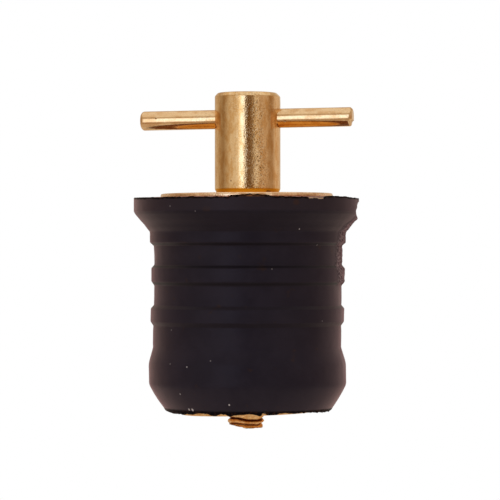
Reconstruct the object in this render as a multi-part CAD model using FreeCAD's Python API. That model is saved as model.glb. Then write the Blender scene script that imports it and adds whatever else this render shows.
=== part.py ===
import FreeCAD, Part
import math
import os

# Expanding drain plug for a boat. A ribbed rubber body goes down into the drain tube. Turning the brass
# T handle clockwise draws the threaded bottom plate up the stud, and the squeezed rubber swells and seals.
#
# Millimetres. The origin is on the axis at the rim of the drain hole, where the flange's cone lands.
# +Z points up out of the hole, and +X runs along the cross bar.

# Rubber body, outside
FLANGE_DIAMETER = 36.4
FLANGE_HEIGHT = 5.4           # top of the flange above the rim of the hole
FLANGE_SIDE = 2.1             # straight side of the flange, above its cone
LAND_DIAMETER = 31.2          # first band, which centres the plug in the mouth of the tube
LAND_LENGTH = 1.5
LAND_BEVEL = 0.8              # drop of the bevel from the first band to the first groove
GROOVE_DIAMETER = 29.9
RIB_DIAMETER = 30.86
RIB_DEPTH = 5.25              # top of the first rib below the rim of the hole
RIB_LENGTH = 3.37
RIB_TOP_BEVEL = 0.55          # drop of the bevel above a rib
RIB_FOOT_BEVEL = 0.7          # and of the one below it
RIB_PITCH = 6.4
RIB_COUNT = 2
LAST_GROOVE_LENGTH = 3.3      # groove between the last rib and the flare
FLARE_LENGTH = 2.7
BULGE_DIAMETER = 31.5
BULGE_LENGTH = 3.38
NOSE_LENGTH = 4.05            # taper below the bulge
NOSE_DIAMETER = 26.4
NOSE_ROUNDING = 0.35
TRIM_FLAT = 0.7               # depth of the flat that was cut when the moulding was trimmed
TRIM_ANGLE = 5.0              # degrees from +X to the middle of that flat

# Washer under the handle
WASHER_DIAMETER = 27.4
WASHER_THICKNESS = 0.75
WASHER_EDGE = 0.12

# Handle
HUB_DIAMETER = 10.4
HUB_LENGTH = 16.0
HUB_TOP_BEVEL = 0.5
HUB_FOOT_BEVEL = 0.3
HUB_FOOT_BEVEL_HEIGHT = 0.55
BAR_DIAMETER = 3.0
BAR_LENGTH = 34.15
BAR_DROP = 4.1                # axis of the cross bar below the top of the hub
BAR_OFFSET = -0.15            # the bar was pushed this far through, along +X
BAR_TILT = 0.85               # degrees that the +X end stands up
BAR_END_BEVEL = 0.35
HUB_WEB = 0.8                 # metal left between the stud's hole and the cross hole
DRILL_POINT = 118.0           # degrees, the cone that the drill leaves

# Stud and bottom plate
STUD_DIAMETER = 5.8
STUD_END = 2.45               # length of stud that stands out below the plate
STUD_SNIP_ANGLE = 14.0        # degrees, the slanted side of the snipped end
STUD_SNIP_START = 0.4         # from the axis to the ridge where the slant begins
PLATE_DIAMETER = 21.4
PLATE_THICKNESS = 1.6
PLATE_PROUD = 0.35            # the plate stands this far below the nose
PLATE_EDGE = 0.2

# Fits, each on the radius or along the axis
STUD_BORE_CLEARANCE = 0.3     # stud in the rubber and in the washer
THREAD_CLEARANCE = 0.05       # stud in the plate
SEAT_CLEARANCE = 0.02         # pressed bar and screwed stud in the hub
TURNING_GAP = 0.02            # hub above the washer
PLATE_SIDE_CLEARANCE = 0.2    # plate in its recess
PLATE_SEAT_GAP = 0.05         # plate below the floor of its recess
STUD_TOP_GAP = 0.3            # stud below the end of its hole

# Places that follow from the sizes
AXIS = FreeCAD.Vector(0, 0, 1)
ORIGIN = FreeCAD.Vector(0, 0, 0)
WASHER_TOP = FLANGE_HEIGHT + WASHER_THICKNESS
HUB_FOOT = WASHER_TOP + TURNING_GAP
HUB_TOP = HUB_FOOT + HUB_LENGTH
BAR_HEIGHT = HUB_TOP - BAR_DROP
LAST_RIB_END = -RIB_DEPTH - (RIB_COUNT - 1) * RIB_PITCH - RIB_LENGTH
FLARE_TOP = LAST_RIB_END - LAST_GROOVE_LENGTH
BULGE_TOP = FLARE_TOP - FLARE_LENGTH
BULGE_FOOT = BULGE_TOP - BULGE_LENGTH
NOSE_FOOT = BULGE_FOOT - NOSE_LENGTH
PLATE_FOOT = NOSE_FOOT - PLATE_PROUD
PLATE_TOP = PLATE_FOOT + PLATE_THICKNESS
STUD_FOOT = PLATE_FOOT - STUD_END
STUD_HOLE_RADIUS = STUD_DIAMETER / 2 + SEAT_CLEARANCE
BAR_HOLE_RADIUS = BAR_DIAMETER / 2 + SEAT_CLEARANCE
DRILL_CONE = STUD_HOLE_RADIUS / math.tan(math.radians(DRILL_POINT / 2))
STUD_HOLE_END = BAR_HEIGHT - BAR_HOLE_RADIUS - HUB_WEB - DRILL_CONE
CLEARANCE_BORE = STUD_DIAMETER / 2 + STUD_BORE_CLEARANCE


def turned(outline):
    """Solid turned about Z from a closed outline of (radius, height) corners."""
    corners = [FreeCAD.Vector(radius, 0, height) for radius, height in outline]
    face = Part.Face(Part.makePolygon(corners + corners[:1]))
    return face.revolve(ORIGIN, AXIS, 360)


def round_edges(solid, height, radius, rounding):
    """Round the circular edges of a turned solid that lie at one height and radius."""
    near = 1e-4
    edges = []
    for edge in solid.Edges:
        box = edge.BoundBox
        flat = abs(box.ZMin - height) < near and abs(box.ZMax - height) < near
        if flat and abs(box.XMax - radius) < near:
            edges.append(edge)
    return solid.makeFillet(rounding, edges)


def rib_outline(top):
    """Corners of one rib, from its upper bevel down to its lower bevel."""
    foot = top - RIB_LENGTH
    return [
        (GROOVE_DIAMETER / 2, top),
        (RIB_DIAMETER / 2, top - RIB_TOP_BEVEL),
        (RIB_DIAMETER / 2, foot + RIB_FOOT_BEVEL),
        (GROOVE_DIAMETER / 2, foot),
    ]


def trim_flat():
    """Block that shaves the flange's side where the moulding's flash was cut away."""
    reach = FLANGE_DIAMETER
    shave = FLANGE_DIAMETER / 2 - TRIM_FLAT
    block = Part.makeBox(reach, reach, FLANGE_HEIGHT, FreeCAD.Vector(shave, -reach / 2, 0))
    block.rotate(ORIGIN, AXIS, TRIM_ANGLE)
    return block


def rubber_plug():
    """Moulded body: flange, cone, ribbed shank, bulge and nose, with the recess for the plate."""
    recess = PLATE_DIAMETER / 2 + PLATE_SIDE_CLEARANCE
    recess_floor = PLATE_TOP + PLATE_SEAT_GAP
    outline = [
        (CLEARANCE_BORE, FLANGE_HEIGHT),
        (FLANGE_DIAMETER / 2, FLANGE_HEIGHT),
        (FLANGE_DIAMETER / 2, FLANGE_HEIGHT - FLANGE_SIDE),
        (LAND_DIAMETER / 2, 0),
        (LAND_DIAMETER / 2, -LAND_LENGTH),
        (GROOVE_DIAMETER / 2, -LAND_LENGTH - LAND_BEVEL),
    ]
    for count in range(RIB_COUNT):
        outline += rib_outline(-RIB_DEPTH - count * RIB_PITCH)
    outline += [
        (GROOVE_DIAMETER / 2, FLARE_TOP),
        (BULGE_DIAMETER / 2, BULGE_TOP),
        (BULGE_DIAMETER / 2, BULGE_FOOT),
        (NOSE_DIAMETER / 2, NOSE_FOOT),
        (recess, NOSE_FOOT),
        (recess, recess_floor),
        (CLEARANCE_BORE, recess_floor),
    ]
    body = turned(outline)
    body = round_edges(body, NOSE_FOOT, NOSE_DIAMETER / 2, NOSE_ROUNDING)
    return body.cut(trim_flat())


def top_washer():
    """Flat washer that spreads the hub's pressure over the rubber."""
    radius = WASHER_DIAMETER / 2
    return turned([
        (CLEARANCE_BORE, FLANGE_HEIGHT),
        (radius - WASHER_EDGE, FLANGE_HEIGHT),
        (radius, FLANGE_HEIGHT + WASHER_EDGE),
        (radius, WASHER_TOP - WASHER_EDGE),
        (radius - WASHER_EDGE, WASHER_TOP),
        (CLEARANCE_BORE, WASHER_TOP),
    ])


def along_bar(radius, length, bevel):
    """Round bar centred in the hub, lying along the cross bar's tilted axis."""
    half = length / 2
    bar = turned([
        (0, -half),
        (radius - bevel, -half),
        (radius, bevel - half),
        (radius, half - bevel),
        (radius - bevel, half),
        (0, half),
    ])
    bar.rotate(ORIGIN, FreeCAD.Vector(0, 1, 0), 90 - BAR_TILT)
    bar.translate(FreeCAD.Vector(0, 0, BAR_HEIGHT))
    return bar


def cross_bar():
    """Bar that the fingers turn, pushed through the hub."""
    bar = along_bar(BAR_DIAMETER / 2, BAR_LENGTH, BAR_END_BEVEL)
    tilt = math.radians(BAR_TILT)
    bar.translate(FreeCAD.Vector(BAR_OFFSET * math.cos(tilt), 0, BAR_OFFSET * math.sin(tilt)))
    return bar


def handle_hub():
    """Turned barrel with a drilled hole for the stud from below and a cross hole for the bar."""
    radius = HUB_DIAMETER / 2
    barrel = turned([
        (STUD_HOLE_RADIUS, HUB_FOOT),
        (radius - HUB_FOOT_BEVEL, HUB_FOOT),
        (radius, HUB_FOOT + HUB_FOOT_BEVEL_HEIGHT),
        (radius, HUB_TOP - HUB_TOP_BEVEL),
        (radius - HUB_TOP_BEVEL, HUB_TOP),
        (0, HUB_TOP),
        (0, STUD_HOLE_END + DRILL_CONE),
        (STUD_HOLE_RADIUS, STUD_HOLE_END),
    ])
    return barrel.cut(along_bar(BAR_HOLE_RADIUS, 2 * HUB_DIAMETER, SEAT_CLEARANCE))


def snip():
    """Wedge that leaves the stud's lower end slanted on its -X side."""
    reach = 2 * STUD_DIAMETER
    wedge = Part.makeBox(reach, reach, reach, FreeCAD.Vector(-reach, -reach / 2, -reach))
    wedge.rotate(ORIGIN, FreeCAD.Vector(0, 1, 0), STUD_SNIP_ANGLE)
    wedge.translate(FreeCAD.Vector(STUD_SNIP_START, 0, STUD_FOOT))
    return wedge


def threaded_stud():
    """Stud at the outside of its thread, from the blind end of the hub's hole to below the plate."""
    stud_top = STUD_HOLE_END - STUD_TOP_GAP
    stud = Part.makeCylinder(STUD_DIAMETER / 2, stud_top - STUD_FOOT, FreeCAD.Vector(0, 0, STUD_FOOT))
    return stud.cut(snip())


def bottom_plate():
    """Threaded plate that climbs the stud and squeezes the rubber from below."""
    radius = PLATE_DIAMETER / 2
    bore = STUD_DIAMETER / 2 + THREAD_CLEARANCE
    return turned([
        (bore, PLATE_FOOT),
        (radius - PLATE_EDGE, PLATE_FOOT),
        (radius, PLATE_FOOT + PLATE_EDGE),
        (radius, PLATE_TOP - PLATE_EDGE),
        (radius - PLATE_EDGE, PLATE_TOP),
        (bore, PLATE_TOP),
    ])


PIECES = {
    "rubber_plug": rubber_plug,
    "top_washer": top_washer,
    "handle_hub": handle_hub,
    "cross_bar": cross_bar,
    "threaded_stud": threaded_stud,
    "bottom_plate": bottom_plate,
}

os.makedirs("parts", exist_ok=True)
for name, make in PIECES.items():
    solid = make()
    solid.exportStep(f"parts/{name}.step")
    print(name, round(solid.Volume, 1), solid.isValid(), len(solid.Solids))
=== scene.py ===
import math

import bmesh
import bpy
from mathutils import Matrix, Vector, noise


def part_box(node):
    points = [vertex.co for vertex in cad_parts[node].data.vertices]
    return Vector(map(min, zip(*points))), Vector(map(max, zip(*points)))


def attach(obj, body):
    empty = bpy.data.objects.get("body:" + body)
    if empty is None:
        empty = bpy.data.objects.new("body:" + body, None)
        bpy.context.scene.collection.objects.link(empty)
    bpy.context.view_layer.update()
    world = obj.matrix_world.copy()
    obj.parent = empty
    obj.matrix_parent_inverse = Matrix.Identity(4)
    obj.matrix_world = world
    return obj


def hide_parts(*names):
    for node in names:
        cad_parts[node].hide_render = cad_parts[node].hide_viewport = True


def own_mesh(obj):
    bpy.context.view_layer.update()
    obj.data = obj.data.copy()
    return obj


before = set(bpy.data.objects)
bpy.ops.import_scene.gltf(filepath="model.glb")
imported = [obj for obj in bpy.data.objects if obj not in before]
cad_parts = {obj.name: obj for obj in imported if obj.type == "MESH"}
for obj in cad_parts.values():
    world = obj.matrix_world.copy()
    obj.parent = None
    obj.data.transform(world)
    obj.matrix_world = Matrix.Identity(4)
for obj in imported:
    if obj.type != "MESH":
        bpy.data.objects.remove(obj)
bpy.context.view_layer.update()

# An expanding drain plug: a ribbed rubber body, a brass T handle on a threaded stud, a washer and a plate.
# Lengths are in millimetres, and MM turns them into metres. A height is measured along the stud from the
# rim of the drain hole. A front angle is in degrees round the stud, from the plug's front towards +X.
MM = 0.001


def node_box(name):
    """Lowest and highest corner of a fixed part, in millimetres."""
    low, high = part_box(name)
    return low / MM, high / MM


rubber_low, rubber_high = node_box("rubber_plug")
washer_low, washer_high = node_box("top_washer")
hub_low, hub_high = node_box("handle_hub")
bar_low, bar_high = node_box("cross_bar")
stud_low, stud_high = node_box("threaded_stud")
plate_low, plate_high = node_box("bottom_plate")

FRONT_TURN = 5.0              # degrees from -Y to the line that front angles are counted from

# Rubber body
FLANGE_TOP = rubber_high.z
FLANGE_RADIUS = rubber_high.y
NOSE_FOOT = rubber_low.z
FLANGE_SIDE = 2.1             # straight side above the cone
LAND_RADIUS = 15.6            # first band, below the cone
LAND_FOOT = -1.73
LAND_BEVEL = 0.57
GROOVE_RADIUS = 14.95
RIB_RADIUS = 15.43
RIB_TOPS = (-5.3, -11.72)
RIB_LENGTH = 3.32
RIB_TOP_BEVEL = 0.55
RIB_FOOT_BEVEL = 0.7
FLARE_TOP = -18.32
BULGE_TOP = -21.02
BULGE_FOOT = -24.4
BULGE_RADIUS = 15.75
NOSE_RADIUS = 13.2
NOSE_SWELL = 0.2              # how far the nose's cone bulges out in its middle
STUD_BORE = stud_high.y + 0.3
RECESS_RADIUS = plate_high.x + 0.2
RECESS_FLOOR = plate_high.z + 0.15
MOULD_ROUNDING = 0.1          # rounding of the mould's edges
RUBBER_STEPS = 560            # faces round the body, which carry the torn edges' jags
# How far the soft body stands out from its moulded form: height and distance
SWELLS = (
    (-28, 0.035), (-18.4, 0.035), (-18.0, 0.1), (-15.4, 0.1), (-15, 0.035), (-9.2, 0.035), (-8.4, 0.005),
    (-5.6, 0.005), (-4.9, 0.022), (-3.6, 0.055), (-2.4, 0.085), (-1.9, 0.035), (-0.05, 0.035), (0.2, 0.085),
    (0.7, 0.085), (1.0, 0.05), (1.4, 0.06), (1.8, 0.12), (2.8, 0.15), (3.15, 0.05), (3.4, 0.0),
)
# How far the soft body sways along X: height and shift
SWAY = (
    (-28, 0.09), (-26.5, 0.03), (-24, 0.0), (-21, -0.05), (-18, -0.11), (-14, -0.06), (-12, 0.0),
    (-10.5, 0.05), (-9.2, 0.035), (-5.6, 0.035), (-4.8, 0.075), (-3.6, 0.075), (-2.4, 0.03), (-1, -0.01),
    (5, 0),
)

# Torn flash along the flange's rim and the nose's foot: front angle, and height beyond the clean edge
RIM_TEARS = (
    (-86, -0.03), (-76, -0.06), (-62, -0.09), (-54, -0.12), (-50.5, -0.04), (-48, -0.18), (-44.5, -0.15),
    (-42, -0.12), (-38, -0.07), (-29, -0.15), (-26, -0.13), (-24.5, -0.02), (-18, -0.1), (-13, -0.17),
    (-10, -0.1), (-5, -0.17), (-4, -0.06), (-3.2, 0.11), (0.8, 0.21), (1.8, 0.16), (2.8, 0.25), (3.7, 0.18),
    (6.4, 0.43), (7.6, 0.09), (9.6, 0.25), (12.5, 0.18), (15.4, 0.11), (18.4, -0.07), (22, -0.07),
    (24.5, -0.12), (26, -0.07), (29, -0.1), (35.8, -0.12), (36.4, -0.24), (42.5, -0.26), (45.4, -0.25),
    (46.3, -0.1), (47.8, 0.03), (51.5, 0.11), (59, 0.01), (62, 0.04), (68.5, -0.11), (81, -0.15),
    (96, -0.18), (112, -0.08), (131, 0.05), (147, -0.12), (158, 0.08), (181, 0.0), (196, 0.14), (199, 0.02),
    (231, -0.05), (258, 0.02),
)
NOSE_TEARS = (
    (-84, 0.05), (-70, 0.17), (-62, 0.28), (-57, 0.35), (-53, 0.27), (-49, 0.34), (-46.5, 0.45),
    (-44.5, 0.38), (-42, 0.24), (-39, 0.28), (-36, 0.25), (-34, 0.1), (-31, 0.02), (-28.5, 0.06),
    (-24, 0.11), (-22, 0.3), (-20, 0.4), (-17.5, 0.4), (-16.3, 0.26), (-14, 0.14), (-10.5, 0.16),
    (-9.3, 0.34), (-7, 0.4), (-4, 0.22), (0, 0.17), (3, 0.13), (6, 0.06), (8.5, 0.09), (10.5, 0.24),
    (12.5, 0.42), (14, 0.28), (15, -0.1), (16.6, -0.22), (17.6, 0.15), (19, 0.25), (23.5, 0.22),
    (25.5, 0.14), (27.5, -0.04), (31, -0.05), (35, 0.01), (39, 0.11), (41.5, 0.03), (44.5, -0.1),
    (47, -0.03), (51, -0.07), (55, 0.03), (60, 0.04), (64, -0.06), (68, 0.12), (84, 0.05), (110, 0.1),
    (134, -0.08), (152, 0.14), (170, 0.0), (199, -0.05), (214, 0.16), (236, -0.04), (258, 0.1),
)
BARE_BELOW = -0.2             # where the rim is torn lower than this, pale rubber shows

# Cut side, where the moulding's flash was trimmed off
TRIM_FRONT_ANGLE = 95.0
# Distance from the axis to the cut: height and distance
TRIM_FACE = (
    (-9, 18), (0, 18), (1.9, 17.30), (2.4, 17.27), (3.2, 17.14), (3.45, 17.16), (3.7, 17.35), (4.1, 17.34),
    (4.5, 17.46), (4.8, 17.66), (5.4, 17.66),
)
TRIM_LIFT = 0.15              # the torn rubber stands this much proud on the cone
TRIM_SPREAD = 13.0            # half of the scar's angle on the flange
TRIM_SPREAD_BELOW = 23.0      # and on the shank
TRIM_END = -8.4               # lowest height that the scar reaches

# Handle, stud, washer and plate
HUB_RADIUS = hub_high.x + 0.05
HUB_TOP = hub_high.z + 0.1    # over its burr
HUB_TOP_DOME = 0.75           # width of the slope inside the top's bevel
HUB_TOP_BEVEL = 0.5
HUB_TOP_BEVEL_HEIGHT = 0.62
HUB_KNOCK_ANGLE = 95.0        # front angle of the top's corner that has been knocked in
HUB_FOOT_BEVEL = 0.3
HUB_FOOT_BEVEL_HEIGHT = 0.62
BAR_RADIUS = (bar_high.y - bar_low.y) / 2 + 0.04
BAR_TILT = math.radians(0.77)
BAR_CENTRE = Vector(((bar_low.x + bar_high.x) / 2 - 0.03, 0, (bar_low.z + bar_high.z) / 2 - 0.04))
BAR_LENGTH = (bar_high.x - bar_low.x) / math.cos(BAR_TILT) + 0.2
BAR_BEVEL = 0.32
STUD_RADIUS = stud_high.y
THREAD_DEPTH = 0.45
THREAD_PITCH = 1.0
SNIP_START = 0.2              # from the axis to the ridge where the slant begins
SNIP_ANGLE = math.radians(11.5)
CRIMP_ANGLE = math.radians(5.5)
CRIMP_SHIFT = 0.26            # the snipped end is pushed this far towards -X
CRIMP_SAG = 0.28              # and its front right is this much lower
WASHER_SHIFT = 0.15           # the washer sits this far off towards -X
PLATE_TILT = 1.4              # degrees, its +X side up
PLATE_DROP = 0.19             # lower than its solid

# Photograph's camera
CAMERA_AZIMUTH = math.radians(10)
CAMERA_DISTANCE = 480.0
CAMERA_HEIGHT = -2.94
CAMERA_OFFSET = 0.38          # to the right, which brings the stud's axis left of the middle
LENS = 216.0                  # on a sensor 36 mm wide


# Modelling helpers

def deselect():
    if bpy.context.mode != "OBJECT":
        bpy.ops.object.mode_set(mode="OBJECT")
    bpy.ops.object.select_all(action="DESELECT")


def start_outline(name, radius, height):
    """New piece that is a single vertex where its outline begins, left in edit mode."""
    deselect()
    bpy.ops.mesh.primitive_plane_add(size=MM, location=(0, 0, 0))
    piece = bpy.context.object
    piece.name = name
    piece.data.name = name
    bpy.context.tool_settings.mesh_select_mode = (True, False, False)
    bpy.ops.object.mode_set(mode="EDIT")
    bpy.ops.mesh.merge(type="CENTER")
    bpy.ops.transform.translate(value=(radius * MM, 0, height * MM))
    return piece


def draw_outline(name, corners, closed):
    """Outline in the XZ plane, extruded from corner to corner; a corner is (radius, height, setback)."""
    piece = start_outline(name, corners[0][0], corners[0][1])
    route = corners[1:] + corners[:1] if closed else corners[1:]
    here = corners[0]
    for corner in route:
        step = ((corner[0] - here[0]) * MM, 0, (corner[1] - here[1]) * MM)
        bpy.ops.mesh.extrude_vertices_move(TRANSFORM_OT_translate={"value": step})
        here = corner
    bpy.ops.mesh.select_all(action="SELECT")
    bpy.ops.mesh.remove_doubles(threshold=0.001 * MM)
    return piece


def select_where(piece, kind, wanted):
    """Select the vertices, edges or faces of the piece in edit mode that are wanted, and count them."""
    bpy.context.tool_settings.mesh_select_mode = (kind == "verts", kind == "edges", kind == "faces")
    bpy.ops.mesh.select_all(action="DESELECT")
    mesh = bmesh.from_edit_mesh(piece.data)
    count = 0
    for part in getattr(mesh, kind):
        if wanted(part):
            part.select_set(True)
            count += 1
    mesh.select_flush_mode()
    bmesh.update_edit_mesh(piece.data)
    return count


def round_corners(piece, corners, segments):
    """Round each corner of an outline back by its setback."""
    for radius, height, setback in corners:
        place = Vector((radius, 0, height)) * MM
        if setback:
            select_where(piece, "verts", lambda vertex: (vertex.co - place).length < 0.002 * MM)
            bpy.ops.mesh.bevel(offset=setback * MM, segments=segments, affect="VERTICES")


def divide(piece, longest, wanted=lambda middle: True):
    """Halve the outline's edges until none that is wanted is longer than the longest."""
    def too_long(edge):
        middle = (edge.verts[0].co + edge.verts[1].co) / (2 * MM)
        return edge.calc_length() > longest * MM and wanted(middle)

    while select_where(piece, "edges", too_long):
        bpy.ops.mesh.subdivide(number_cuts=1)


def close_mesh(piece, smooth_angle):
    """Merge doubles, turn the faces outwards and go back to object mode."""
    bpy.ops.mesh.select_all(action="SELECT")
    bpy.ops.mesh.remove_doubles(threshold=0.001 * MM)
    bpy.ops.mesh.normals_make_consistent(inside=False)
    deselect()
    piece.select_set(True)
    bpy.context.view_layer.objects.active = piece
    bpy.ops.object.shade_smooth_by_angle(angle=math.radians(smooth_angle))


def turned(name, corners, steps, longest, closed=False, segments=3, smooth_angle=32):
    """Piece turned about Z from its outline, with rounded corners and its long edges divided."""
    piece = draw_outline(name, corners, closed)
    round_corners(piece, corners, segments)
    divide(piece, longest)
    bpy.ops.mesh.select_all(action="SELECT")
    bpy.ops.mesh.spin(steps=steps, angle=2 * math.pi, center=(0, 0, 0), axis=(0, 0, 1))
    close_mesh(piece, smooth_angle)
    return piece


def apply_modifier(piece, modifier):
    bpy.context.view_layer.objects.active = piece
    bpy.ops.object.modifier_apply(modifier=modifier.name)


def screw_round(piece, steps, turns=1, pitch=0.0):
    """Sweep an outline round Z, rising by the pitch at each turn. It is much quicker than a spin."""
    deselect()
    sweep = piece.modifiers.new("sweep", "SCREW")
    sweep.axis = "Z"
    sweep.angle = 2 * math.pi
    sweep.screw_offset = pitch * MM
    sweep.iterations = turns
    sweep.steps = steps
    sweep.render_steps = steps
    sweep.use_merge_vertices = True
    sweep.merge_threshold = 0.001 * MM
    apply_modifier(piece, sweep)
    piece.select_set(True)


def lay_along_bar(piece, centre):
    """Turn a piece that stands on Z so that it lies along the cross bar, and move it to its centre."""
    bpy.ops.object.mode_set(mode="EDIT")
    bpy.ops.mesh.select_all(action="SELECT")
    angle = math.pi / 2 - BAR_TILT
    bpy.ops.transform.rotate(value=-angle, orient_axis="Y", center_override=(0, 0, 0))
    bpy.ops.transform.translate(value=centre * MM)
    bpy.ops.object.mode_set(mode="OBJECT")


def tilt(piece, degrees):
    """Raise the +X side of a piece by an angle about the middle of its own height."""
    middle = (piece.bound_box[0][2] + piece.bound_box[1][2]) / 2
    bpy.ops.object.mode_set(mode="EDIT")
    bpy.ops.mesh.select_all(action="SELECT")
    bpy.ops.transform.rotate(value=math.radians(degrees), orient_axis="Y", center_override=(0, 0, middle))
    bpy.ops.object.mode_set(mode="OBJECT")


def front_angle(point):
    """Degrees round the axis from the plug's front towards +X."""
    return math.degrees(math.atan2(point.x, -point.y)) - FRONT_TURN


def place_round(front, height, radius):
    """Point at a front angle, a height and a radius."""
    angle = math.radians(front + FRONT_TURN)
    return Vector((radius * math.sin(angle), -radius * math.cos(angle), height))


def apart(front, other):
    """Degrees between two front angles."""
    return abs((front - other + 180) % 360 - 180)


def between(low, high, value):
    """0 at low, 1 at high, smooth in between."""
    share = min(1, max(0, (value - low) / (high - low)))
    return share * share * (3 - 2 * share)


def along(course, place):
    """Value at a place on a course of (place, value) points, which holds its ends."""
    if place <= course[0][0]:
        return course[0][1]
    for (start, low), (end, high) in zip(course, course[1:]):
        if place <= end:
            return low + (high - low) * (place - start) / (end - start)
    return course[-1][1]


def torn(tears, front):
    """Height of a torn edge at a front angle, from its list of tears."""
    turn = 360
    front = (front - tears[0][0]) % turn + tears[0][0]
    return along(tears + ((tears[0][0] + turn, tears[0][1]),), front)


def grain(point, size, seed):
    """Smooth noise from -1 to 1 with features of about that size."""
    return noise.noise(Vector((point.x / size + seed, point.y / size - seed, point.z / size)))


# Pieces

def rib_corners(top):
    foot = top - RIB_LENGTH
    return [
        (GROOVE_RADIUS, top, MOULD_ROUNDING),
        (RIB_RADIUS, top - RIB_TOP_BEVEL, MOULD_ROUNDING),
        (RIB_RADIUS, foot + RIB_FOOT_BEVEL, MOULD_ROUNDING),
        (GROOVE_RADIUS, foot, MOULD_ROUNDING),
    ]


def rubber_corners():
    """Outline of the moulding, down its outside and back up inside."""
    corners = [
        (STUD_BORE, FLANGE_TOP, 0.2),
        (FLANGE_RADIUS - 1.7, FLANGE_TOP, 0),
        (FLANGE_RADIUS - 0.5, FLANGE_TOP, 0.12),
        (FLANGE_RADIUS - 0.06, FLANGE_TOP + 0.04, 0.03),
        (FLANGE_RADIUS, FLANGE_TOP - 0.08, 0.03),
        (FLANGE_RADIUS, FLANGE_TOP - FLANGE_SIDE - 0.05, 0.12),
        (LAND_RADIUS, 0, 0.2),
        (LAND_RADIUS, LAND_FOOT, MOULD_ROUNDING),
        (GROOVE_RADIUS, LAND_FOOT - LAND_BEVEL, MOULD_ROUNDING),
    ]
    for top in RIB_TOPS:
        corners += rib_corners(top)
    corners += [
        (GROOVE_RADIUS, FLARE_TOP, 0.35),
        (BULGE_RADIUS, BULGE_TOP, 0.5),
        (BULGE_RADIUS, BULGE_FOOT, 0.35),
        ((BULGE_RADIUS + NOSE_RADIUS) / 2 + NOSE_SWELL, (BULGE_FOOT + NOSE_FOOT) / 2, 1.2),
        (NOSE_RADIUS + 0.12, NOSE_FOOT + 0.15, 0.08),
        (NOSE_RADIUS - 0.06, NOSE_FOOT - 0.02, 0.05),
        (NOSE_RADIUS - 0.36, NOSE_FOOT, 0.05),
        (RECESS_RADIUS, NOSE_FOOT, 0.15),
        (RECESS_RADIUS, RECESS_FLOOR, 0),
        (STUD_BORE, RECESS_FLOOR, 0),
    ]
    return corners


def scar(front, height):
    """How much of the trimmed, grainy side shows at a place, from 0 to 1."""
    off = apart(front, TRIM_FRONT_ANGLE)
    ragged = 2.5 * noise.noise(Vector((height * 0.9, 3.1, 0.4)))
    spread = TRIM_SPREAD + (TRIM_SPREAD_BELOW - TRIM_SPREAD) * between(3, -0.5, height) + ragged
    inside = 1 - between(spread - 5.0, spread + 2.0, off)
    return inside * between(TRIM_END - 0.6, TRIM_END + 0.6, height)


def bevel_shade(radius, height):
    """How much painted shade a place gets in the bevels between the bands and at the foot of the flange's
    side, which are painted blacker and stay glossier.
    """
    if height > 0:
        return 0.45 * between(FLANGE_TOP - FLANGE_SIDE, FLANGE_TOP - FLANGE_SIDE - 0.3, height)
    edge = LAND_RADIUS if height > RIB_TOPS[0] else RIB_RADIUS
    share = (radius - GROOVE_RADIUS) / (edge - GROOVE_RADIUS)
    if height < FLARE_TOP + 0.3 or share <= 0 or share >= 1:
        return 0.0
    return min(1, 5 * share * (1 - share))


def tear_rim(place, front, radius, height):
    """Tear the flange's rim at a place, and tell how bare its rubber is there and how much painted shade
    darkens the line along its edge.
    """
    at_rim = between(FLANGE_RADIUS - 1.6, FLANGE_RADIUS - 0.3, radius)
    at_rim *= between(FLANGE_TOP - 0.9, FLANGE_TOP - 0.2, height)
    if at_rim <= 0:
        return 0.0, 0.0
    tear = torn(RIM_TEARS, front)
    jag = 0.08 * grain(place, 0.32, 51) + 0.07 * grain(place, 0.55, 23) + 0.05 * grain(place, 1.6, 7)
    place.z += at_rim * (tear + jag)
    bare = between(BARE_BELOW, BARE_BELOW - 0.03, tear)
    edge_depth = (0.24 + 0.14 * grain(place, 0.9, 61)) * (1 - 0.6 * bare)
    at_edge = between(FLANGE_TOP - edge_depth - 0.08, FLANGE_TOP - edge_depth + 0.08, height)
    at_edge *= between(FLANGE_RADIUS - 0.55, FLANGE_RADIUS - 0.25, radius)
    return at_edge * bare, at_edge * (1 - bare)


def tear_foot(place, front, radius, height):
    """Tear the nose's foot at a place, and tell how much painted shade darkens its bottom edge there."""
    at_foot = between(NOSE_FOOT + 0.45, NOSE_FOOT + 0.1, height)
    at_foot *= between(NOSE_RADIUS - 0.75, NOSE_RADIUS - 0.3, radius)
    if at_foot <= 0:
        return 0.0
    ragged = 0.08 + 0.2 * between(38, 46, front) * between(90, 75, front)
    jag = ragged * grain(place, 0.42, 31) + 0.05 * grain(place, 1.5, 3)
    place.z -= at_foot * (torn(NOSE_TEARS, front) + jag)
    return between(NOSE_FOOT + 0.5, NOSE_FOOT + 0.25, height)


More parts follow.
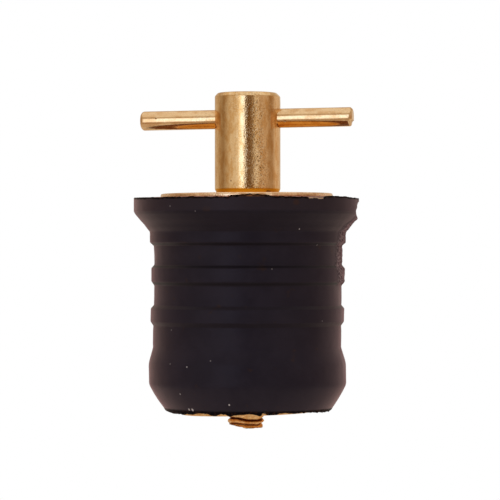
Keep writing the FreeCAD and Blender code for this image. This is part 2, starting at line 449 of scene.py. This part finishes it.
def weather_rubber(piece):
    """Tear the flash, trim the side and take the mould's perfect roundness off the rubber body.

    The wear-and-shade attribute holds how raw each place is, how much painted shade it gets, and how much of
    a torn edge's painted dark line lies there.
    """
    mesh = piece.data
    wear_and_shade = mesh.attributes.new("rubber_wear_and_shade", "FLOAT_VECTOR", "POINT")
    trim_out = place_round(TRIM_FRONT_ANGLE, 0, 1)
    for index, vertex in enumerate(mesh.vertices):
        place = vertex.co / MM
        radius = place.xy.length
        front = front_angle(place)
        height = place.z
        out = Vector((place.x, place.y, 0)) / radius
        outside = between(GROOVE_RADIUS - 3, GROOVE_RADIUS - 2.4, radius)
        if radius > NOSE_RADIUS - 0.5 and height < FLANGE_TOP + 1:
            place += out * (0.035 * grain(place, 6.0, 11) + 0.012 * grain(place, 1.3, 5))
            place += out * along(SWELLS, height)
            place.x += along(SWAY, height)
        bare, rim_shade = tear_rim(place, front, radius, height)
        foot_shade = tear_foot(place, front, radius, height)
        raw = 2.2 * bare
        # Painted shade: bevels, the foot of the flange's side and the lines along the torn edges are darkened
        dark = max(bevel_shade(radius, height) * outside, 1.35 * rim_shade, 1.3 * foot_shade)
        trimmed = scar(front, height) * outside
        over = place.dot(trim_out) - along(TRIM_FACE, height)
        if over > 0:
            place -= trim_out * over
        if trimmed > 0:
            lift = TRIM_LIFT * between(3.2, 2.2, height) * (0.3 + 0.7 * between(-0.6, 0.4, height))
            place += out * trimmed * lift
            rough = 0.10 * grain(place, 0.45, 41) + 0.10 * grain(place, 1.1, 17)
            place += out * trimmed * rough
            raw = max(raw, trimmed)
            dark *= 1 - trimmed
        wear_and_shade.data[index].vector = (raw, dark, max(rim_shade, foot_shade))
        vertex.co = place * MM


def make_rubber_body():
    corners = rubber_corners()
    body = draw_outline("ribbed_rubber_body", corners, closed=True)
    round_corners(body, corners, 3)
    top = FLANGE_TOP - 0.1
    divide(body, 0.7, lambda middle: middle.x > FLANGE_RADIUS - 1.7 and middle.z > top)
    divide(body, 0.4, lambda middle: middle.x > LAND_RADIUS and top > middle.z > -1)
    divide(body, 0.15, lambda middle: middle.x > FLANGE_RADIUS - 0.7 and middle.z > FLANGE_TOP - 0.6)
    divide(body, 0.5, lambda middle: middle.x > GROOVE_RADIUS - 0.2 and middle.z > TRIM_END - 0.6)
    divide(body, 0.2, lambda middle: middle.x > NOSE_RADIUS - 0.8 and middle.z < NOSE_FOOT + 0.8)
    divide(body, 1.1, lambda middle: middle.x > NOSE_RADIUS)
    divide(body, 4.0)
    screw_round(body, RUBBER_STEPS)
    bpy.ops.object.mode_set(mode="EDIT")
    close_mesh(body, 60)
    weather_rubber(body)
    return body


def make_washer():
    """Washer whose upper edge was rolled over by the punch."""
    top = washer_high.z - 0.07
    edge = washer_high.x + 0.07
    bore = STUD_BORE
    washer = turned("spreader_washer", [
        (bore, washer_low.z, 0.1),
        (edge, washer_low.z, 0.06),
        (edge, top, 0.3),
        (bore + 0.25, top, 0.08),
        (bore, top - 0.2, 0.05),
    ], 256, 0.8, closed=True, segments=4)
    tilt(washer, 0.25)
    for vertex in washer.data.vertices:
        vertex.co.x -= WASHER_SHIFT * MM
    return washer


def make_hub():
    hole = STUD_RADIUS + 0.02
    hole_end = stud_high.z + 0.3
    drill_cone = hole / math.tan(math.radians(59))
    hub = turned("handle_barrel", [
        (0, HUB_TOP - 0.1, 0),
        (HUB_RADIUS - HUB_TOP_BEVEL - HUB_TOP_DOME, HUB_TOP, 0.2),
        (HUB_RADIUS - HUB_TOP_BEVEL, HUB_TOP - 0.09, 0.15),
        (HUB_RADIUS, HUB_TOP - HUB_TOP_BEVEL_HEIGHT, 0.15),
        (HUB_RADIUS, hub_low.z + HUB_FOOT_BEVEL_HEIGHT, 0.1),
        (HUB_RADIUS - HUB_FOOT_BEVEL, hub_low.z, 0.05),
        (hole, hub_low.z, 0),
        (hole, hole_end, 0),
        (0, hole_end + drill_cone, 0),
    ], 192, 1.0, smooth_angle=30)
    for vertex in hub.data.vertices:
        place = vertex.co / MM
        knocked = between(70, 15, apart(front_angle(place), HUB_KNOCK_ANGLE))
        knocked *= between(HUB_TOP - 0.9, HUB_TOP - 0.4, place.z)
        if knocked > 0 and place.xy.length > HUB_RADIUS - 1.2:
            place -= Vector((place.x, place.y, 0)).normalized() * 0.14 * knocked
            vertex.co = place * MM
    deselect()
    drill_radius = (BAR_RADIUS + 0.02) * MM
    bpy.ops.mesh.primitive_cylinder_add(vertices=96, radius=drill_radius, depth=3 * HUB_RADIUS * MM)
    drill = bpy.context.object
    lay_along_bar(drill, Vector((0, 0, BAR_CENTRE.z - BAR_CENTRE.x * math.tan(BAR_TILT))))
    cross_hole = hub.modifiers.new("cross_hole", "BOOLEAN")
    cross_hole.object = drill
    cross_hole.solver = "EXACT"
    apply_modifier(hub, cross_hole)
    bpy.data.objects.remove(drill)
    return hub


def make_bar():
    half = BAR_LENGTH / 2
    bar = turned("finger_bar", [
        (0, -half, 0),
        (BAR_RADIUS - 0.46, -half, 0.1),
        (BAR_RADIUS, -half + BAR_BEVEL, 0.24),
        (BAR_RADIUS, half - 0.36, 0.06),
        (BAR_RADIUS - 0.34, half, 0.08),
        (0, half, 0),
    ], 96, 0.5, segments=4)
    lay_along_bar(bar, BAR_CENTRE)
    for vertex in bar.data.vertices:
        below = BAR_CENTRE.z - vertex.co.z / MM
        sheared = between(bar_high.x - 0.7, bar_high.x - 0.45, vertex.co.x / MM) * between(0.36, 0.56, below)
        squared = between(bar_high.x - 0.3, bar_high.x - 0.1, vertex.co.x / MM) * between(0.6, 1.1, below)
        vertex.co.x -= 0.22 * sheared * MM
        vertex.co.z -= 0.18 * squared * MM
    return bar


def make_stud():
    """Fully threaded stud, with its crimped end snipped off at a slant."""
    crest = STUD_RADIUS
    shoulder = STUD_RADIUS - 0.12
    root = STUD_RADIUS - THREAD_DEPTH
    top = stud_high.z
    turns = math.ceil(top - stud_low.z) + 3
    start = stud_low.z - 1.63
    corners = [(crest, start, 0)]
    # One turn of the thread: radius, drop in pitches, and setback
    for radius, drop, setback in (
        (crest, 0.11, 0.08),
        (shoulder, 0.29, 0.08),
        (root, 0.47, 0.03),
        (root, 0.53, 0.03),
        (shoulder, 0.71, 0.08),
        (crest, 0.89, 0.08),
        (crest, 1.0, 0),
    ):
        corners.append((radius, start - drop * THREAD_PITCH, setback))
    stud = draw_outline("snipped_stud", corners, closed=False)
    round_corners(stud, corners, 2)
    screw_round(stud, 64, turns, THREAD_PITCH)
    # Share of painted shade on the thread, deepest in its roots
    thread_shade = stud.data.attributes.new("painted_thread_shade", "FLOAT", "POINT")
    for index, vertex in enumerate(stud.data.vertices):
        place = vertex.co / MM
        thread_shade.data[index].value = (crest - place.xy.length) / THREAD_DEPTH
        crimped = between(plate_low.z + 0.3, plate_low.z - 0.6, place.z)
        if crimped > 0:
            front = front_angle(place)
            sag = between(-32, 12, front) * between(95, 50, front)
            place.z -= crimped * (math.tan(CRIMP_ANGLE) * place.x + CRIMP_SAG * sag)
            out = Vector((place.x, place.y, 0)).normalized()
            place += out * crimped * 0.1 * (grain(place, 0.8, 13) - 0.1)
            place.z += crimped * 0.09 * grain(place, 1.2, 29)
            place.x -= crimped * CRIMP_SHIFT
            # The last turns are crushed where the photograph shows it
            place.z -= 0.15 * between(-30.5, -30.0, place.z) * between(-28.9, -29.4, place.z)
            place.z += 0.11 * between(-30.4, -30.8, place.z) * between(-1, 0.5, place.x)
            place.x -= 0.25 * between(-30.2, -30.6, place.z) * between(0, -2, place.x)
            place.x -= 0.2 * between(-30.3, -30.6, place.z) * between(1, 2.5, place.x)
            place.x -= 0.12 * between(-30.0, -29.6, place.z) * between(-1.5, -2.6, place.x)
            vertex.co = place * MM
    bpy.ops.object.mode_set(mode="EDIT")
    slant = (math.sin(SNIP_ANGLE), 0, math.cos(SNIP_ANGLE))
    cuts = (
        ((0, 0, top * MM), (0, 0, 1), "above"),
        ((0, 0, stud_low.z * MM), (0, 0, 1), "below"),
        ((SNIP_START * MM, 0, stud_low.z * MM), slant, "below"),
    )
    for place, direction, side in cuts:
        bpy.ops.mesh.select_all(action="SELECT")
        bpy.ops.mesh.bisect(plane_co=place, plane_no=direction, use_fill=True,
                            clear_outer=side == "above", clear_inner=side == "below")
    close_mesh(stud, 40)
    thread_shade = stud.data.attributes["painted_thread_shade"]
    for index, vertex in enumerate(stud.data.vertices):
        # Painted shade on the upward-facing flanks too, and less of it near the snipped end
        filled = 0.35 * between(-30.3, -30.7, vertex.co.z / MM)
        thread_shade.data[index].value += 0.35 * max(0, vertex.normal.z) - filled
    return stud


def make_plate():
    """Plate, which hangs a little askew on its thread."""
    edge = 0.22
    bore = STUD_RADIUS + 0.05
    foot = plate_low.z - PLATE_DROP
    top = plate_high.z - PLATE_DROP
    plate = turned("threaded_plate", [
        (bore + 0.3, foot, 0.05),
        (plate_high.x, foot, edge),
        (plate_high.x, top, edge),
        (bore, top, 0),
        (bore, foot + 0.3, 0.05),
    ], 256, 0.8, closed=True, segments=4)
    tilt(plate, PLATE_TILT)
    return plate


# Materials

def add_node(tree, kind, inputs=None, **settings):
    """New shader node with its settings, and its inputs linked or set."""
    node = tree.nodes.new(kind)
    for name, value in settings.items():
        setattr(node, name, value)
    for name, value in (inputs or {}).items():
        if isinstance(value, bpy.types.NodeSocket):
            tree.links.new(value, node.inputs[name])
        else:
            node.inputs[name].default_value = value
    return node


def new_material(name):
    material = bpy.data.materials.new(name)
    material.use_nodes = True
    tree = material.node_tree
    tree.nodes.clear()
    return material, tree


def maths(tree, operation, first, second=0.0, clamp=False):
    inputs = {0: first, 1: second}
    return add_node(tree, "ShaderNodeMath", inputs, operation=operation, use_clamp=clamp).outputs[0]


def vector_maths(tree, operation, first, second=(0, 0, 0), output="Vector"):
    inputs = {0: first, 1: second}
    return add_node(tree, "ShaderNodeVectorMath", inputs, operation=operation).outputs[output]


def height_of(tree, place):
    return add_node(tree, "ShaderNodeSeparateXYZ", {0: place}).outputs["Z"]


def spread(tree, value, low, high, to_low=0.0, to_high=1.0):
    """Value moved from one range to another, clamped and smooth."""
    inputs = {"Value": value, "From Min": low, "From Max": high, "To Min": to_low, "To Max": to_high}
    return add_node(tree, "ShaderNodeMapRange", inputs, interpolation_type="SMOOTHSTEP").outputs["Result"]


def blend_colour(tree, share, first, second, kind="MIX"):
    node = add_node(tree, "ShaderNodeMix", data_type="RGBA", blend_type=kind)
    for index, value in ((0, share), (6, first), (7, second)):
        if isinstance(value, bpy.types.NodeSocket):
            tree.links.new(value, node.inputs[index])
        else:
            node.inputs[index].default_value = value
    return node.outputs[2]


def speckle(tree, place, size, detail=2.0, roughness=0.5):
    """Noise whose features are about that many millimetres."""
    inputs = {"Vector": place, "Scale": 1 / (size * MM), "Detail": detail, "Roughness": roughness}
    return add_node(tree, "ShaderNodeTexNoise", inputs).outputs["Fac"]


def stretched(tree, place, scale):
    return add_node(tree, "ShaderNodeMapping", {"Vector": place, "Scale": scale}).outputs["Vector"]


def on_piece(radius, spots):
    """The (front angle, height, size) spots, with the radius of the round piece that they are on."""
    return [(front, height, radius, size) for front, height, size in spots]


def near(tree, place, spots):
    """1 at the (front angle, height, radius of the piece, size) spots, and 0 beyond their size."""
    found = 0.0
    for front, height, radius, size in spots:
        spot = place_round(front, height, radius) * MM
        away = vector_maths(tree, "DISTANCE", place, spot, "Value")
        found = maths(tree, "MAXIMUM", found, spread(tree, away, size * MM, 0.4 * size * MM))
    return found


WASHER_FACE_ORANGE = (0.70, 0.35, 0.08, 1)
HUB_FOOT_PAINTED_REFLECTION = (0.90, 0.60, 0.08, 1)
THREAD_ROOT_PAINTED_SHADE = (0.16, 0.03, 0.004, 1)


def brass(name, colour, tarnish, roughness, drawn=(1, 1, 1), speckle_height=0.015, marks=(), worn=(),
          foot=None, face=None, threaded=False):
    """Worn brass, with drawn lines where its stretch says, fine speckle, brown tarnish, and dark marks, some
    of them painted shade.

    Worn spots have coarser speckle. Up to the height of its foot the brass gets a painted reflection of the
    washer, it is stained inside the radius of its face, and a thread gets painted shade in its roots and on
    its upward flanks.
    """
    material, tree = new_material(name)
    place = add_node(tree, "ShaderNodeTexCoord").outputs["Object"]
    lines = speckle(tree, stretched(tree, place, drawn), 0.3, 3.0, 0.6)
    cloud = speckle(tree, stretched(tree, place, [0.4 + 0.6 * value for value in drawn]), 0.9, 3.0, 0.6)
    fine = speckle(tree, place, 0.2, 1.0, 0.6)
    coarseness = spread(tree, speckle(tree, place, 3.5, 2.0), 0.4, 0.65, 0.3, 0.9)
    coarseness = maths(tree, "ADD", coarseness, maths(tree, "MULTIPLY", near(tree, place, worn), 1.5))
    pit_and_shade = near(tree, place, marks)
    stained = spread(tree, cloud, 0.4, 0.63)
    shade = blend_colour(tree, stained, (*colour, 1), (*tarnish, 1))
    streak = spread(tree, lines, 0.35, 0.7, 0.0, 0.35)
    shade = blend_colour(tree, streak, shade, (*tarnish, 1))
    dark = [0.35 * value for value in tarnish]
    fleck = spread(tree, speckle(tree, place, 0.2, 1.0), 0.5, 0.66, 0.0, 0.34)
    shade = blend_colour(tree, maths(tree, "MULTIPLY", fleck, coarseness, clamp=True), shade, (*dark, 1))
    grit = speckle(tree, stretched(tree, place, (1.1, 1, 0.9)), 0.21, 1.0)
    grit = maths(tree, "MULTIPLY", spread(tree, grit, 0.5, 0.64), coarseness)
    pale = [value ** 0.6 for value in colour]
    shade = blend_colour(tree, maths(tree, "MULTIPLY", grit, 0.3, clamp=True), shade, (*pale, 1))
    if threaded:
        # Painted shade: the thread's roots and upward flanks are painted dark brown
        depth = add_node(tree, "ShaderNodeAttribute", attribute_name="painted_thread_shade").outputs["Fac"]
        shade = blend_colour(tree, spread(tree, depth, 0.35, 0.95), shade, THREAD_ROOT_PAINTED_SHADE)
    if face is not None:
        across = vector_maths(tree, "MULTIPLY", place, (1, 1, 0))
        away = vector_maths(tree, "LENGTH", across, output="Value")
        inside = spread(tree, away, face * MM, (face - 0.2) * MM)
        shade = blend_colour(tree, inside, shade, WASHER_FACE_ORANGE)
    # Painted reflection: the foot's bevel is painted the yellow-orange that the washer would reflect into it
    if foot is not None:
        washer_reflection = spread(tree, height_of(tree, place), (foot + 0.12) * MM, foot * MM)
        shade = blend_colour(tree, washer_reflection, shade, HUB_FOOT_PAINTED_REFLECTION)
    # Dark marks, some of which are painted shade
    shade = blend_colour(tree, maths(tree, "MULTIPLY", pit_and_shade, 0.75), shade, (*dark, 1))
    gloss = spread(tree, fine, 0.3, 0.7, roughness * 0.75, roughness * 1.35)
    gloss = maths(tree, "ADD", gloss, maths(tree, "MULTIPLY", pit_and_shade, 0.35))
    gloss = maths(tree, "ADD", gloss, maths(tree, "MULTIPLY", grit, 0.05))
    height = maths(tree, "MULTIPLY", maths(tree, "MULTIPLY", fine, speckle_height), coarseness)
    height = maths(tree, "ADD", height, maths(tree, "MULTIPLY", lines, 0.004))
    height = maths(tree, "SUBTRACT", height, maths(tree, "MULTIPLY", pit_and_shade, 0.03))
    bump = add_node(tree, "ShaderNodeBump", {"Height": height, "Strength": 1.0, "Distance": MM})
    shader = add_node(tree, "ShaderNodeBsdfPrincipled", {
        "Base Color": shade,
        "Metallic": 1.0,
        "Roughness": gloss,
        "Specular Tint": (1.0, 0.94, 0.86, 1),
        "Normal": bump.outputs["Normal"],
    })
    add_node(tree, "ShaderNodeOutputMaterial", {"Surface": shader.outputs[0]})
    return material


# Light grains stuck on the rubber, bright ones and faint ones: front angle, height, and size of the grain
DUST_SPECKS = (
    (35.4, 0.32, 0.12), (-31.8, -21.17, 0.13), (-38.9, -25.47, 0.13), (-37.45, -27.94, 0.22),
    (-34.5, -27.96, 0.28), (-6.5, -27.02, 0.18),
)
FAINT_SPECKS = (
    (-36.5, 3.9, 0.12), (-21.5, 3.08, 0.1), (50.7, -2.16, 0.13), (19.2, -5.89, 0.12), (-47.5, -15.5, 0.13),
    (-16.7, -20.16, 0.13), (-45.5, -20.8, 0.14), (54.4, -14.07, 0.12),
)
SMUDGES = ((29.5, 4.45, 0.6),)
DUST_RADIUS = 15.0            # the grains' places are measured on a cylinder of this radius

BLACK_RUBBER = (0.0142, 0.0131, 0.0232, 1)
GREYER_RUBBER = (0.0188, 0.0170, 0.0285, 1)
BROWN_SMEAR = (0.034, 0.019, 0.014, 1)
SIDE_DUST = (0.030, 0.022, 0.028, 1)
TOP_DUST = (0.21, 0.082, 0.028, 1)
PAINTED_SHADE_BLACK = (0.002, 0.0015, 0.002, 1)
BROWN_GRAINS = (0.06, 0.022, 0.012, 1)
SCAR_GREY = (0.25, 0.22, 0.245, 1)
BARE_RIM = (0.70, 0.50, 0.32, 1)
SMUDGE_BROWN = (0.050, 0.023, 0.014, 1)
DUST_WHITE = (0.60, 0.57, 0.60, 1)


def rubber_material():
    """Moulded black rubber with light dust, a brown flange top, a pale scar, torn edges with brown grains and
    painted dark shade lines, and painted shade in its bevels.
    """
    material, tree = new_material("moulded_black_rubber")
    place = add_node(tree, "ShaderNodeTexCoord").outputs["Object"]
    wear_and_shade = add_node(tree, "ShaderNodeAttribute", attribute_name="rubber_wear_and_shade").outputs["Vector"]
    wear_and_shade = add_node(tree, "ShaderNodeSeparateXYZ", {0: wear_and_shade}).outputs
    raw = wear_and_shade["X"]
    painted_shade = wear_and_shade["Y"]
    edge_shade = wear_and_shade["Z"]
    cloud = speckle(tree, place, 5.0, 4.0, 0.6)
    smear = speckle(tree, place, 2.2, 2.0, 0.5)
    fine = speckle(tree, place, 0.16, 2.0, 0.6)
    coarse = speckle(tree, place, 0.5, 3.0, 0.65)
    shade = blend_colour(tree, spread(tree, cloud, 0.35, 0.68), BLACK_RUBBER, GREYER_RUBBER)
    shade = blend_colour(tree, spread(tree, smear, 0.66, 0.78, 0.0, 0.6), shade, BROWN_SMEAR)
    rise = height_of(tree, place)
    side_foot = FLANGE_TOP - FLANGE_SIDE
    dusty = spread(tree, rise, (side_foot - 0.3) * MM, (side_foot + 0.2) * MM, 0.0, 0.5)
    shade = blend_colour(tree, dusty, shade, SIDE_DUST)
    on_top = spread(tree, rise, (FLANGE_TOP - 0.1) * MM, (FLANGE_TOP - 0.02) * MM)
    shade = blend_colour(tree, on_top, shade, TOP_DUST)
    # Painted shade: these places are painted near black
    shade = blend_colour(tree, maths(tree, "MULTIPLY", painted_shade, 0.72), shade, PAINTED_SHADE_BLACK)
    # Brown grains along the torn edges' painted dark lines
    brown = maths(tree, "MULTIPLY", edge_shade, spread(tree, coarse, 0.5, 0.62, 0.0, 0.4))
    shade = blend_colour(tree, brown, shade, BROWN_GRAINS)
    grainy = spread(tree, speckle(tree, place, 0.32, 2.0, 0.6), 0.46, 0.6)
    grainy = maths(tree, "ADD", maths(tree, "MULTIPLY", grainy, 0.9), 0.1)
    pale = maths(tree, "MULTIPLY", raw, grainy, clamp=True)
    shade = blend_colour(tree, pale, shade, SCAR_GREY)
    shade = blend_colour(tree, spread(tree, raw, 1.1, 1.5), shade, BARE_RIM)
    flat = vector_maths(tree, "NORMALIZE", vector_maths(tree, "MULTIPLY", place, (1, 1, 0)))
    flat = vector_maths(tree, "MULTIPLY", flat, [DUST_RADIUS * MM] * 3)
    level = vector_maths(tree, "MULTIPLY", place, (0, 0, 1))
    rolled = vector_maths(tree, "ADD", flat, level)
    for spots, share, colour in (
        (SMUDGES, 0.5, SMUDGE_BROWN),
        (DUST_SPECKS, 0.9, DUST_WHITE),
        (FAINT_SPECKS, 0.35, DUST_WHITE),
    ):
        found = near(tree, rolled, on_piece(DUST_RADIUS, spots))
        shade = blend_colour(tree, maths(tree, "MULTIPLY", found, share), shade, colour)
    gloss = spread(tree, cloud, 0.3, 0.7, 0.34, 0.44)
    gloss = maths(tree, "ADD", gloss, maths(tree, "MULTIPLY", raw, 0.4), clamp=True)
    height = maths(tree, "MULTIPLY", fine, 0.010)
    height = maths(tree, "ADD", height, maths(tree, "MULTIPLY", maths(tree, "MULTIPLY", coarse, raw), 0.16))
    bump = add_node(tree, "ShaderNodeBump", {"Height": height, "Strength": 1.0, "Distance": MM})
    shader = add_node(tree, "ShaderNodeBsdfPrincipled", {
        "Base Color": shade,
        "Roughness": gloss,
        "Specular IOR Level": spread(tree, edge_shade, 0.2, 0.9, 0.115, 0.02),
        "Specular Tint": (1.0, 0.84, 0.93, 1),
        "Sheen Weight": spread(tree, painted_shade, 0.2, 1.0, 0.46, 0.05),
        "Sheen Roughness": 0.36,
        "Sheen Tint": (1.0, 0.49, 0.58, 1),
        "Normal": bump.outputs["Normal"],
    })
    add_node(tree, "ShaderNodeOutputMaterial", {"Surface": shader.outputs[0]})
    return material


def dress(piece, material, body, node):
    """Give a finished piece its material and its body, and hide the fixed part that it stands for."""
    piece.data.materials.clear()
    piece.data.materials.append(material)
    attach(piece, body)
    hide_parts(node)


# Studio

def add_ramp(tree, value, stops):
    """Colour ramp from (place, level) stops; the dimmer a stop is, the warmer its light."""
    node = add_node(tree, "ShaderNodeValToRGB", {"Fac": value})
    ramp = node.color_ramp
    while len(ramp.elements) > 1:
        ramp.elements.remove(ramp.elements[-1])
    for index, (spot, level) in enumerate(stops):
        stop = ramp.elements[0] if index == 0 else ramp.elements.new(spot)
        stop.position = spot
        stop.color = [share / RAMP_SCALE for share in (level ** 0.76, level, level ** 1.34)] + [1]
    return node.outputs["Color"]


# Studio's walls at eye level: degrees to the right of the camera, and brightness
WALLS = (
    (-180, 0.52), (-148, 0.52), (-130, 0.48), (-120, 0.38), (-106, 0.28), (-94, 0.22), (-78, 0.41),
    (-65, 0.59), (-53, 0.64), (-44, 0.66), (-38, 0.76), (-34, 0.84), (-30.5, 1.1), (-27, 1.66), (-15, 1.66),
    (-11, 1.36), (-9, 0.13), (-4, 0.13), (5, 0.09), (11, 0.145), (17, 0.17), (22, 0.24), (27, 0.76),
    (32, 0.86), (37, 0.5), (46, 0.45), (60, 0.5), (73, 0.44), (83, 0.32), (98, 0.31), (114, 0.6), (137, 0.64),
)
# Studio by elevation, where its walls end
CEILING = (
    (-90, 0.25), (-56, 0.30), (-42, 0.48), (-30, 0.54), (-15, 0.60), (28, 0.43), (36, 0.48), (45, 0.76),
    (60, 0.86), (90, 0.80),
)
# Degrees that the walls' light leans to the left below eye level: start and end of the lean, and degrees
WALL_LEANS = ((0, -7, 3.6), (-8, -24, 0.9))
RIGHT_WALL_TINT = (1.0, 0.91, 0.88, 1)
RAMP_SCALE = 3.0              # a ramp holds levels up to 1, so they are divided by this


def light_world():
    """Soft studio: pale walls, a tall light left of the camera, and the dark room behind the camera."""
    world = bpy.data.worlds.new("studio")
    bpy.context.scene.world = world
    world.use_nodes = True
    tree = world.node_tree
    tree.nodes.clear()
    direction = add_node(tree, "ShaderNodeTexCoord").outputs["Generated"]
    to_camera = (math.sin(CAMERA_AZIMUTH), -math.cos(CAMERA_AZIMUTH), 0)
    to_right = (math.cos(CAMERA_AZIMUTH), math.sin(CAMERA_AZIMUTH), 0)
    ahead = vector_maths(tree, "DOT_PRODUCT", direction, to_camera, "Value")
    aside = vector_maths(tree, "DOT_PRODUCT", direction, to_right, "Value")
    around = maths(tree, "ARCTAN2", aside, ahead)
    around = maths(tree, "DIVIDE", maths(tree, "ADD", around, math.pi), 2 * math.pi)
    rise = maths(tree, "ARCSINE", height_of(tree, direction))
    for start, end, turn in WALL_LEANS:
        slant = spread(tree, rise, math.radians(start), math.radians(end), 0.0, turn / 360)
        around = maths(tree, "ADD", around, slant)
    above = spread(tree, rise, math.radians(16), math.radians(30))
    below = spread(tree, rise, math.radians(-8), math.radians(-27))
    rise = maths(tree, "ADD", maths(tree, "DIVIDE", rise, math.pi), 0.5)
    walls = add_ramp(tree, around, [((angle + 180) / 360, level) for angle, level in WALLS])
    on_right = spread(tree, aside, 0.4, 0.8)
    walls = blend_colour(tree, on_right, walls, RIGHT_WALL_TINT, "MULTIPLY")
    ceiling = add_ramp(tree, rise, [((angle + 90) / 180, level) for angle, level in CEILING])
    room = blend_colour(tree, maths(tree, "ADD", above, below), walls, ceiling)
    lit = add_node(tree, "ShaderNodeBackground", {"Color": room, "Strength": RAMP_SCALE})
    white = add_node(tree, "ShaderNodeBackground", {"Color": (1, 1, 1, 1), "Strength": 1.0})
    seen = add_node(tree, "ShaderNodeLightPath").outputs["Is Camera Ray"]
    both = add_node(tree, "ShaderNodeMixShader", {0: seen, 1: lit.outputs[0], 2: white.outputs[0]})
    add_node(tree, "ShaderNodeOutputWorld", {"Surface": both.outputs[0]})


def make_floor():
    """Pale floor below the photograph's frame, which keeps the plug's soft shadow and has painted shade in
    front of the plug.
    """
    deselect()
    bpy.ops.mesh.primitive_circle_add(vertices=96, radius=0.3, fill_type="NGON", location=(0, 0, -0.08))
    floor = bpy.context.object
    floor.name = "studio_floor"
    material, tree = new_material("pale_floor")
    white = add_node(tree, "ShaderNodeEmission", {"Color": (1, 1, 1, 1), "Strength": 1.0})
    clear = add_node(tree, "ShaderNodeBsdfTransparent")
    place = add_node(tree, "ShaderNodeTexCoord").outputs["Object"]
    away = vector_maths(tree, "LENGTH", place, output="Value")
    whiteness = spread(tree, away, 0.02, 0.16, 0.62, 1.0)
    ahead = add_node(tree, "ShaderNodeSeparateXYZ", {0: place}).outputs["Y"]
    # Painted shade: the floor is darker and browner in front of the plug, towards the camera
    pale = blend_colour(tree, spread(tree, ahead, -0.09, -0.15), (0.90, 0.85, 0.79, 1), (0.68, 0.57, 0.47, 1))
    shadow = add_node(tree, "ShaderNodeBsdfDiffuse", {"Color": pale})
    seen = add_node(tree, "ShaderNodeLightPath").outputs["Is Camera Ray"]
    share = maths(tree, "MULTIPLY", seen, whiteness)
    surface = add_node(tree, "ShaderNodeMixShader", {0: share, 1: shadow.outputs[0], 2: white.outputs[0]})
    below = add_node(tree, "ShaderNodeNewGeometry").outputs["Backfacing"]
    both = add_node(tree, "ShaderNodeMixShader", {0: below, 1: surface.outputs[0], 2: clear.outputs[0]})
    add_node(tree, "ShaderNodeOutputMaterial", {"Surface": both.outputs[0]})
    floor.data.materials.append(material)


def place_camera():
    back = Vector((math.sin(CAMERA_AZIMUTH), -math.cos(CAMERA_AZIMUTH), 0))
    right = Vector((math.cos(CAMERA_AZIMUTH), math.sin(CAMERA_AZIMUTH), 0))
    camera = bpy.data.objects.new("camera", bpy.data.cameras.new("camera"))
    bpy.context.scene.collection.objects.link(camera)
    camera.data.lens = LENS
    camera.data.sensor_width = 36.0
    camera.location = (back * CAMERA_DISTANCE + right * CAMERA_OFFSET + Vector((0, 0, CAMERA_HEIGHT))) * MM
    camera.rotation_mode = "QUATERNION"
    camera.rotation_quaternion = (-back).to_track_quat("-Z", "Y")
    camera.data.clip_start = 0.01
    camera.data.clip_end = 10.0
    bpy.context.scene.camera = camera


bpy.context.scene.view_settings.view_transform = "Standard"
place_camera()
light_world()
make_floor()

# Spots of coarser speckle on the hub and the washer: front angle, height and size
HUB_WORN = on_piece(HUB_RADIUS, (
    (16, 7.5, 2.8), (20, 10, 3.0), (18, 13, 2.6), (15, 16, 2.4), (16, 19, 2.4), (14, 21, 2.0),
))
WASHER_WORN = on_piece(washer_high.x, ((-66, 5.9, 3.0), (-14, 5.8, 2.6), (63, 5.8, 3.6)))
# Dark marks on the hub, at its top's edge, and spots of painted shade in its foot's bevel
HUB_MARKS = on_piece(HUB_RADIUS, (
    (22.4, 11.86, 0.16), (27.0, 11.55, 0.14), (24.2, 11.15, 0.17), (27.8, 10.12, 0.15), (28.1, 9.65, 0.14),
    (28.7, 9.09, 0.13), (-25.5, 8.04, 0.17),
))
HUB_MARKS += on_piece(HUB_RADIUS - 0.3, ((-18, 22.25, 0.3),))
# Painted shade: two dark spots in the foot's bevel
HUB_MARKS += on_piece(HUB_RADIUS - 0.15, ((44, 6.35, 0.35), (49, 6.35, 0.3)))
# Dark marks on the bar: front angle, height, distance from the stud's axis, and size
BAR_MARKS = ((-89, 18.18, 14.75, 0.2), (72, 17.62, 6.45, 0.22), (78, 18.6, 9.6, 0.18))

hub_finish = brass("turned_handle_brass", (0.91, 0.64, 0.345), (0.75, 0.44, 0.17), 0.12,
                   drawn=(1, 1, 0.06), marks=HUB_MARKS, worn=HUB_WORN,
                   foot=hub_low.z + HUB_FOOT_BEVEL_HEIGHT)
bar_finish = brass("drawn_bar_brass", (0.91, 0.64, 0.36), (0.75, 0.45, 0.21), 0.13,
                   drawn=(0.04, 1, 1), speckle_height=0.004, marks=BAR_MARKS)
washer_finish = brass("stamped_washer_brass", (0.96, 0.70, 0.46), (0.76, 0.46, 0.25), 0.14,
                      worn=WASHER_WORN, face=washer_high.x - 0.25)
plate_finish = brass("stamped_plate_brass", (0.92, 0.60, 0.30), (0.76, 0.40, 0.14), 0.22)
stud_finish = brass("threaded_brass", (0.93, 0.62, 0.30), (0.80, 0.42, 0.14), 0.34,
                    speckle_height=0.02, threaded=True)

rubber_body = make_rubber_body()
dress(rubber_body, rubber_material(), "plug", "rubber_plug")
dress(make_washer(), washer_finish, "plug", "top_washer")
dress(make_hub(), hub_finish, "handle", "handle_hub")
dress(make_bar(), bar_finish, "handle", "cross_bar")
dress(make_stud(), stud_finish, "handle", "threaded_stud")
dress(make_plate(), plate_finish, "plate", "bottom_plate")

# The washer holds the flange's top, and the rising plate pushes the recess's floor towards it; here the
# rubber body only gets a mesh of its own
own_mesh(rubber_body)
